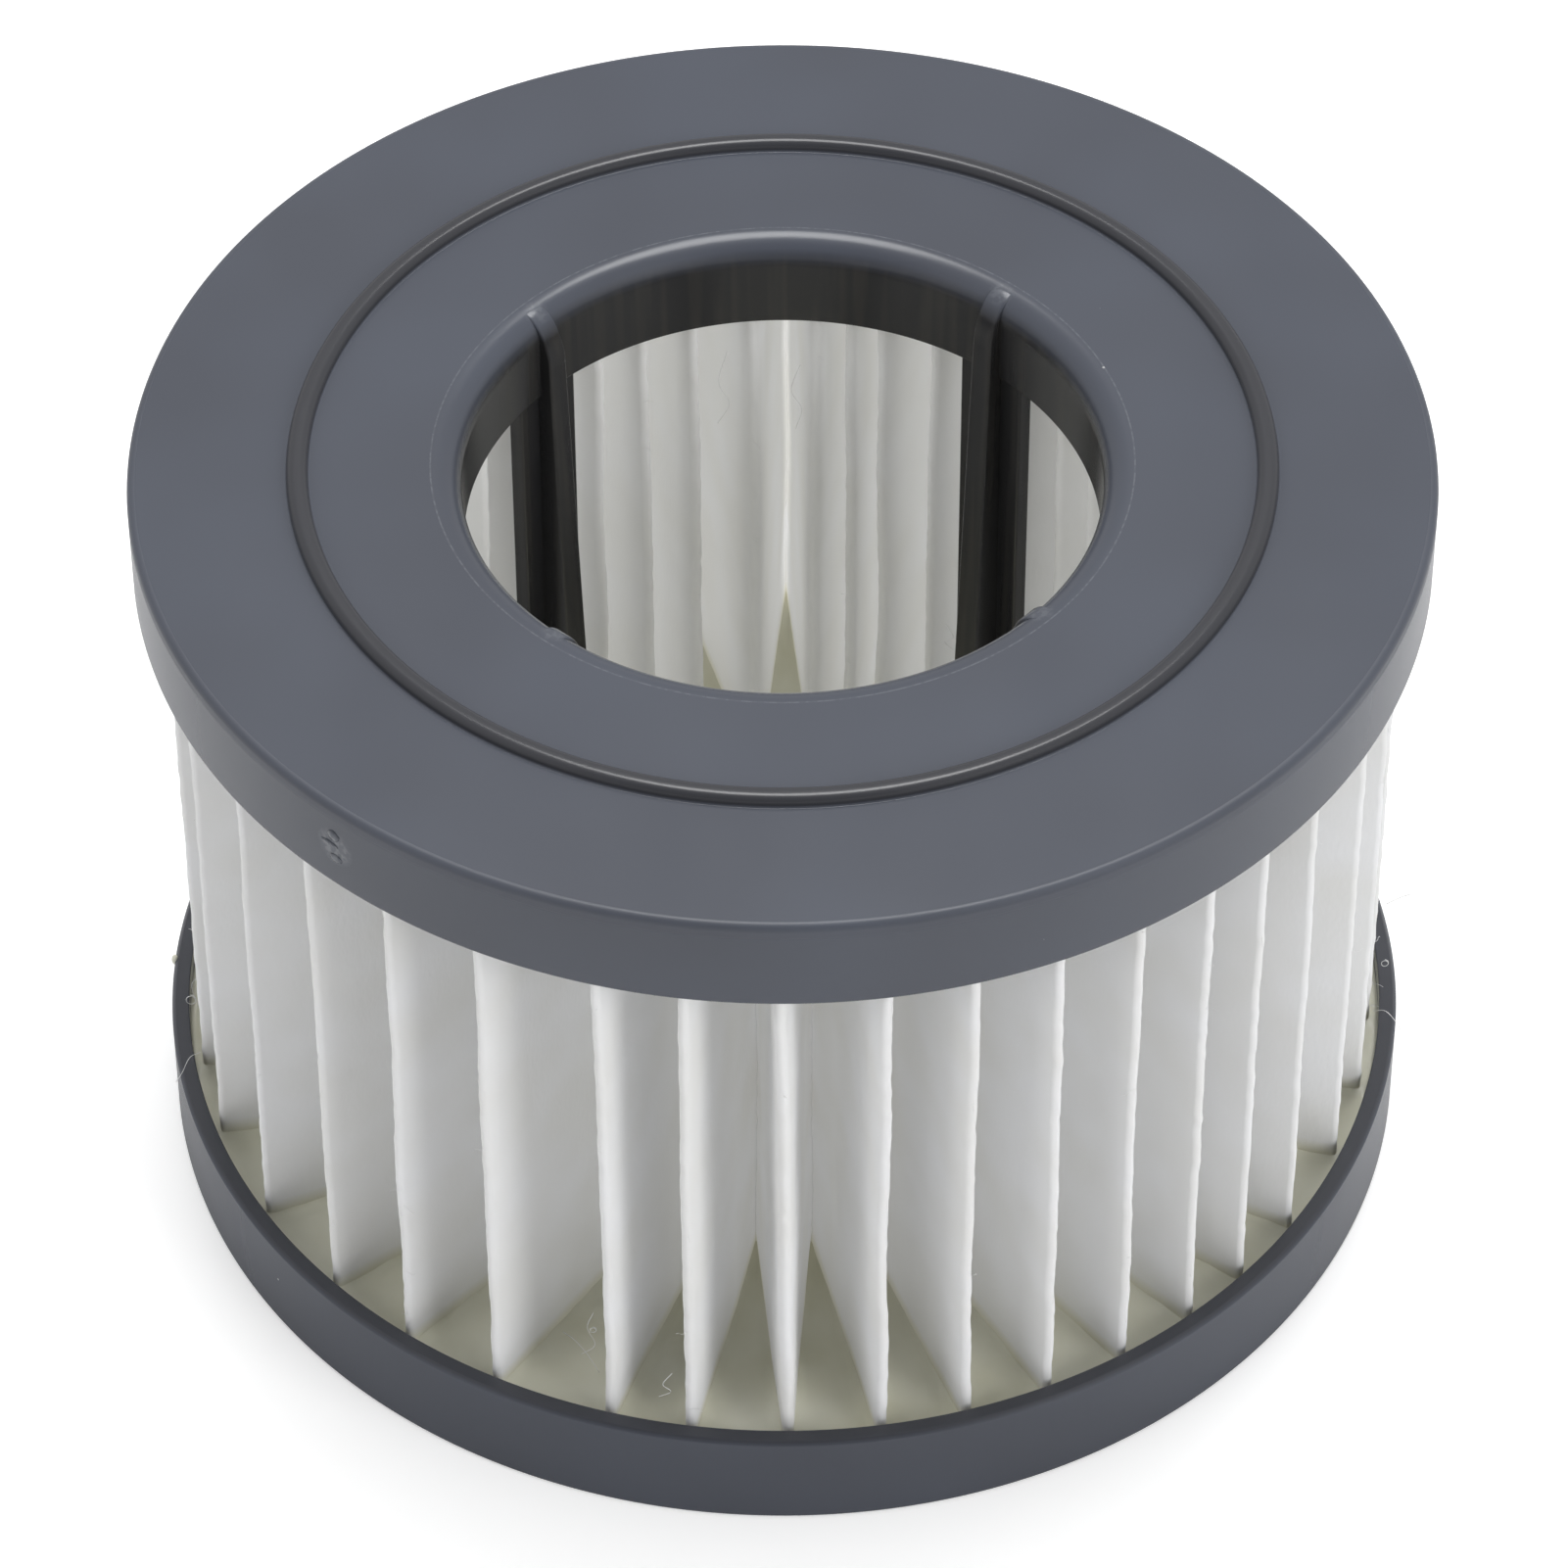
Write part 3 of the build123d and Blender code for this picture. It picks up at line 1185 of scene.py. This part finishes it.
@dataclass
class AdhesiveBed:
    """Cast bed that climbs a little where it wets the paper and the walls."""

    name: str
    node: str
    plan: FoldPlan
    inner_radius: float
    outer_radius: float
    back: float
    face: float
    climb: float = 0.55 * MM
    climb_reach: float = 0.32 * MM
    climb_limit: float = 1.2
    rim_climb: float = 0.7
    fine_from: float = 17 * MM
    fine_margin: float = 0.1 * MM
    ring_step: float = 2.1 * MM
    finer: int = 4
    paper_point_step: float = 0.15 * MM
    around: int = 120

    def build(self, material: Material) -> Object:
        """Model the bed.

        Args:
            material: Finish of the piece.

        Returns:
            The piece.
        """
        shape = bmesh.new()
        closed = self.inner_radius > 0
        fine_start = max(self.inner_radius, self.fine_from)
        rings = round((self.outer_radius - fine_start) / self.ring_step)
        width = self.outer_radius - fine_start
        corners = [] if closed else [Corner(0, self.face)]
        corners += [Corner(fine_start + width * ring / rings, self.face) for ring in range(rings + 1)]
        corners += [Corner(self.outer_radius, self.back), Corner(self.inner_radius, self.back)]
        turn_section(shape, corners, self.around, closed=closed)
        fine = [edge for edge in shape.edges if all(self._in_fine_face(vert.co) for vert in edge.verts)]
        bmesh.ops.subdivide_edges(shape, edges=fine, cuts=self.finer, use_grid_fill=True)
        self._climb_walls(shape)
        return make_piece(self.name, shape, material, [self.node])

    def _in_fine_face(self, point: Vector) -> bool:
        """Whether a point lies on the part of the face that meets the paper."""
        inner = self.fine_from - self.fine_margin
        return abs(point.z - self.face) < TINY and point.xy.length > inner

    def _climb_walls(self, shape: BMesh) -> None:
        """Raise the face near the paper and the outer wall.

        Args:
            shape: The bmesh of the bed.
        """
        paper = self._points_on_paper()
        side = 1 if self.face > self.back else -1
        for vert in shape.verts:
            if not self._in_fine_face(vert.co):
                continue
            gap = paper.find((vert.co.x, vert.co.y, 0))[2] - self.plan.paper_thickness / 2
            rim = max(self.outer_radius - vert.co.xy.length, 0)
            rise = math.exp(-max(gap, 0) / self.climb_reach)
            rise += self.rim_climb * math.exp(-rim / self.climb_reach)
            vert.co.z += side * self.climb * min(rise, self.climb_limit)

    def _points_on_paper(self) -> KDTree:
        """Points close together along the middle of the sheet, seen from above.

        Returns:
            The points.
        """
        walls = self.plan.wall_ends()
        steps = round((self.plan.outer_radius - self.plan.inner_radius) / self.paper_point_step)
        points = KDTree(len(walls) * steps)
        for number, (start, end) in enumerate(walls):
            for step in range(steps):
                points.insert(start.lerp(end, step / steps), number * steps + step)
        points.balance()
        return points


@dataclass
class Fibres:
    """Loose paper fibres: the ones that the photograph shows, and a fine fuzz on the crests."""

    plan: FoldPlan
    foot: float
    head: float
    radius: float = 0.024 * MM
    fuzz_radius: float = 0.013 * MM
    fuzz_count: int = 260
    fuzz_step: float = 0.16 * MM
    fuzz_curl: float = 0.5
    fuzz_steps: tuple[int, int] = (3, 8)
    fuzz_settling: float = 1.6
    fuzz_outward: float = 0.6
    fuzz_root: float = 0.45
    sides: int = 5
    seed: int = 7
    smooth_steps: int = 6

    def build(self, material: Material) -> Object:
        """Model the fibres.

        Args:
            material: Finish of the piece.

        Returns:
            The piece.
        """
        shape = bmesh.new()
        for points in self._seen():
            self._draw(shape, self._smooth(points), self.radius)
        draw = random.Random(self.seed)
        for _ in range(self.fuzz_count):
            self._draw(shape, self._grow(draw), self.fuzz_radius)
        bmesh.ops.recalc_face_normals(shape, faces=shape.faces)
        return make_piece("loose_fibres", shape, material)

    def _seen(self) -> list[list[Vector]]:
        """Routes of the fibres that can be told apart in the photograph.

        Returns:
            The routes.
        """
        routes = [
            [(40.4, -5.2, 19.6), (41.6, -5.4, 20.6), (42.6, -5.6, 20.9), (43.2, -5.7, 20.2)],
            [(40.2, -4.0, 7.9), (41.0, -4.7, 8.6), (41.8, -5.0, 7.7), (42.05, -5.1, 7.2)],
            [(-39.6, -8.2, 8.6), (-40.3, -8.7, 8.6), (-40.8, -9.4, 7.9), (-41.3, -9.4, 6.9)],
            [(-39.8, -1.9, 9.6), (-40.5, -2.1, 8.9), (-40.2, -2.9, 8.0), (-39.7, -3.1, 7.2)],
            [(-14.6, -31.6, 6.6), (-13.8, -32.4, 6.7), (-12.9, -33.4, 6.3), (-12.2, -34.4, 5.8)],
            [(-12.5, -33.6, 10.8), (-12.9, -33.9, 9.7), (-12.4, -34.6, 8.8), (-13.3, -34.9, 8.2)],
            [(-8.2, -38.7, 8.4), (-7.4, -39.3, 9.6), (-7.9, -39.8, 10.9), (-7.3, -39.9, 12.1)],
            [(-3.7, 22.6, 44.6), (-4.3, 22.2, 42.2), (-3.6, 22.0, 40.4), (-4.4, 22.2, 38.4)],
            [(1.2, 22.4, 43.5), (0.6, 22.0, 41.6), (1.3, 21.8, 40.1), (0.9, 22.1, 38.0)],
            [(11.3, 19.4, 22.2), (11.8, 19.0, 21.3), (11.2, 19.3, 20.6), (11.9, 19.2, 19.8)],
        ]
        loops = [
            ((-40.5, -3.4, 8.6), 0.42 * MM),
            ((41.1, -1.2, 9.6), 0.3 * MM),
            ((-12.5, -34.6, 10.2), 0.25 * MM),
        ]
        fibres = [[Vector(point) * MM for point in route] for route in routes]
        return fibres + [self._curl(Vector(middle) * MM, size) for middle, size in loops]

    @staticmethod
    def _curl(middle: Vector, size: float) -> list[Vector]:
        """Small loop whose ends cross.

        Args:
            middle: Middle of the loop.
            size: Half of its height.

        Returns:
            Points on the loop.
        """
        width, drift = 0.8 * size, 0.05 * size
        turns = [FULL_TURN * eighth / 8 for eighth in range(11)]
        return [
            middle + Vector((width * math.cos(turn), drift * turn, size * math.sin(turn)))
            for turn in turns
        ]

    def _smooth(self, points: Sequence[Vector]) -> list[Vector]:
        """Smooth curve through all the points.

        Args:
            points: Points to pass through.

        Returns:
            Points on the curve.
        """
        ends = [points[0] * 2 - points[1], *points, points[-1] * 2 - points[-2]]
        curve = []
        for before, start, end, after in zip(ends, ends[1:], ends[2:], ends[3:]):
            slope = end - before
            bend = before * 2 - start * 5 + end * 4 - after
            twist = start * 3 - before - end * 3 + after
            for step in range(self.smooth_steps):
                t = step / self.smooth_steps
                curve.append((start * 2 + slope * t + bend * t**2 + twist * t**3) / 2)
        return [*curve, points[-1]]

    @staticmethod
    def _stray(draw: random.Random) -> Vector:
        """Random step, the same in every direction on average."""
        return Vector((draw.gauss(0, 1), draw.gauss(0, 1), draw.gauss(0, 1)))

    def _grow(self, draw: random.Random) -> list[Vector]:
        """Route of one short hair that grows out of a crest.

        Args:
            draw: Source of the random numbers.

        Returns:
            Points on the hair.
        """
        folds = self.plan.folds()
        radius, angle = folds[draw.randrange(len(folds))]
        outward = 1 if radius > (self.plan.outer_radius + self.plan.inner_radius) / 2 else -1
        height = self.foot + (self.head - self.foot) * draw.random() ** self.fuzz_settling
        side = draw.choice((-1, 1)) * self.plan.fold_round * draw.random()
        root = outward * self.plan.paper_thickness * self.fuzz_root
        points = [polar(radius + root, angle, height) + polar(side, angle + math.pi / 2)]
        along = polar(outward, angle) * self.fuzz_outward + self._stray(draw)
        for _ in range(draw.randint(*self.fuzz_steps)):
            along = along.normalized()
            points.append(points[-1] + along * self.fuzz_step)
            along += self._stray(draw) * self.fuzz_curl
        return points

    def _draw(self, shape: BMesh, points: Sequence[Vector], radius: float) -> None:
        """Add a thin tube along the points.

        Args:
            shape: The bmesh that grows.
            points: The tube's route.
            radius: Radius of the tube.
        """
        hair = bmesh.new()
        bmesh.ops.create_circle(hair, cap_ends=True, segments=self.sides, radius=radius)
        turn = (points[1] - points[0]).to_track_quat("Z", "Y").to_matrix().to_4x4()
        bmesh.ops.transform(hair, matrix=Matrix.Translation(points[0]) @ turn, verts=hair.verts)
        end = hair.faces[:]
        for before, after in zip(points, points[1:]):
            first = len(hair.faces) == 1
            grown = bmesh.ops.extrude_face_region(hair, geom=end, use_keep_orig=first)["geom"]
            end = only(BMFace, grown)
            bmesh.ops.translate(hair, vec=after - before, verts=only(BMVert, grown))
        join_shape(shape, hair, Matrix.Identity(4))


@dataclass
class Drop:
    """Drop of adhesive that was squeezed over the rim of the dish."""

    radius: float = 42.02 * MM
    angle: float = math.radians(177.4)
    height: float = 7.15 * MM
    size: Triple = (0.24 * MM, 0.3 * MM, 0.4 * MM)

    def build(self, material: Material) -> Object:
        """Model the drop.

        Args:
            material: Finish of the piece.

        Returns:
            The piece.
        """
        shape = bmesh.new()
        bmesh.ops.create_icosphere(shape, subdivisions=3, radius=1)
        bmesh.ops.scale(shape, vec=self.size, verts=shape.verts)
        place = polar(self.radius, self.angle, self.height)
        bmesh.ops.translate(shape, vec=place, verts=shape.verts)
        return make_piece("adhesive_drop", shape, material)


@dataclass(frozen=True)
class Lamp:
    """Square lamp that faces the object. Glossy surfaces show it where it is mirrored."""

    name: str
    place: Triple
    power: float
    mirrored: bool = False
    size: float = 0.5

    def build(self) -> None:
        """Hang the lamp."""
        light = bpy.data.lights.new(self.name, "AREA")
        light.energy = self.power
        light.size = self.size
        lamp = add_object(self.name, light)
        lamp.location = self.place
        lamp.rotation_euler = (-Vector(self.place)).to_track_quat("-Z", "Y").to_euler()
        lamp.visible_glossy = self.mirrored


@dataclass(frozen=True)
class Studio:
    """Plain white floor, soft light and the camera."""

    floor_size: float = 8.0
    floor_gap: float = 0.05 * MM
    floor_colour: Colour = (0.8, 0.8, 0.8)
    floor_lift: float = 0.46
    sky_strength: float = 0.61
    sky_dark: float = 0.12
    sky_dark_cone: Span = (0.78, 0.93)
    camera_side: Triple = (-0.1, -0.71, 0.69)
    lamps: tuple[Lamp, ...] = (
        Lamp("overhead_lamp", (0.05, 0.34, 1.05), 7.4, mirrored=True),
        Lamp("left_lamp", (-0.75, -0.55, 0.6), 1.6),
        Lamp("right_lamp", (0.75, -0.65, 0.5), 4.2),
    )
    focal_pixels: float = 7474.0
    image_pixels: float = 1601.0
    sensor: float = 36.0
    camera_place: Triple = (0.00003, -0.34747, 0.37147)
    camera_down: float = math.radians(44.84)
    camera_roll: float = math.radians(-0.168)
    near: float = 0.01
    far: float = 50.0

    def build(self) -> None:
        """Set up everything that isn't the object."""
        self._floor()
        self._sky()
        for lamp in self.lamps:
            lamp.build()
        self._camera()
        bpy.context.scene.view_settings.view_transform = "Standard"

    def _floor(self) -> None:
        """White floor that shows white to the camera and keeps a soft shadow."""
        shape = bmesh.new()
        bmesh.ops.create_grid(shape, x_segments=1, y_segments=1, size=self.floor_size / 2)
        floor = add_object("floor", mesh_from(shape, "floor"))
        floor.location.z = -self.floor_gap
        floor.data.materials.append(self._floor_material())

    def _floor_material(self) -> Material:
        """Matte white, lifted to white where the camera sees it.

        Returns:
            The material.
        """
        graph = ShaderGraph(bpy.data.materials.new("floor_white"))
        matte = graph.add("ShaderNodeBsdfDiffuse")
        graph.feed(matte.inputs["Color"], (*self.floor_colour, 1.0))
        glow = graph.add("ShaderNodeEmission")
        seen = graph.add("ShaderNodeLightPath").outputs["Is Camera Ray"]
        graph.feed(glow.inputs["Strength"], graph.math("MULTIPLY", seen, self.floor_lift))
        both = graph.add("ShaderNodeAddShader")
        graph.feed(both.inputs[0], matte.outputs[0])
        graph.feed(both.inputs[1], glow.outputs[0])
        graph.show(both, "ShaderNodeOutputMaterial")
        return graph.owner

    def _sky(self) -> None:
        """White surroundings, dimmer for the object's light and dark round the photographer."""
        graph = ShaderGraph(bpy.data.worlds.new("studio"))
        aim = graph.add("ShaderNodeVectorMath", operation="DOT_PRODUCT")
        graph.feed(aim.inputs[0], graph.coordinates.outputs["Generated"])
        graph.feed(aim.inputs[1], self.camera_side)
        strengths = (self.sky_strength, self.sky_dark)
        light = graph.remap(aim.outputs["Value"], self.sky_dark_cone, strengths)
        seen = graph.add("ShaderNodeLightPath").outputs["Is Camera Ray"]
        background = graph.add("ShaderNodeBackground")
        graph.feed(background.inputs["Color"], (1.0, 1.0, 1.0, 1.0))
        graph.feed(background.inputs["Strength"], graph.remap(seen, (0.0, 1.0), (light, 1.0)))
        graph.show(background, "ShaderNodeOutputWorld")
        bpy.context.scene.world = graph.owner

    def _camera(self) -> None:
        """Camera at the photograph's place, found by fitting the cap's circles."""
        data = bpy.data.cameras.new("camera")
        data.sensor_width = self.sensor
        data.lens = self.focal_pixels / self.image_pixels * self.sensor
        data.clip_start = self.near
        data.clip_end = self.far
        camera = add_object("camera", data)
        tilt = Matrix.Rotation(math.pi / 2 - self.camera_down, 4, "X")
        roll = Matrix.Rotation(self.camera_roll, 4, "Z")
        camera.matrix_world = Matrix.Translation(self.camera_place) @ tilt @ roll
        bpy.context.scene.camera = camera


def main() -> None:
    """Build the filter piece by piece, then the studio."""
    top_low, top_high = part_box("top_cap")
    _, dish_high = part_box("bottom_cap")
    paper_low, paper_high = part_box("pleated_paper")
    bed_low, bed_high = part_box("bottom_adhesive")
    head_low, head_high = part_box("top_adhesive")
    adhesive = CastAdhesive().build()
    top_cap = TopCap(top_high.x, top_high.z - TopCap.bead_height, top_low.z)
    plastic = MouldedPlastic(top_cap.rubs()).build()
    top_cap.build(plastic)
    BottomCap(dish_high.x, dish_high.z, bed_low.z).build(plastic)
    sleeve_outer = top_cap.bore_radius + top_cap.sleeve_wall
    plan = FoldPlan(-paper_low.y, sleeve_outer + SLEEVE_GAP)
    outer_face = FilterPaper(bed_high.z).build()
    inner_face = FilterPaper(bed_high.z, inside=True, name="filter_paper_inside").build()
    PleatedPaper(plan, bed_high.z - PAPER_SINK, paper_high.z).build(outer_face, inner_face)
    bottom = (0.0, bed_high.x + BED_OVERLAP, bed_low.z, bed_high.z)
    AdhesiveBed("bottom_bed", "bottom_adhesive", plan, *bottom).build(adhesive)
    top = (sleeve_outer, head_high.x, head_high.z, head_low.z)
    AdhesiveBed("top_bed", "top_adhesive", plan, *top).build(adhesive)
    fibre = FilterPaper(foot=0.0, name="fibre").build()
    Fibres(plan, bed_high.z, top_low.z + FUZZ_TOP).build(fibre)
    Drop().build(adhesive)
    Studio().build()


if __name__ == "__main__":
    logging.basicConfig(level=logging.INFO, format="%(name)s %(message)s")
    main()
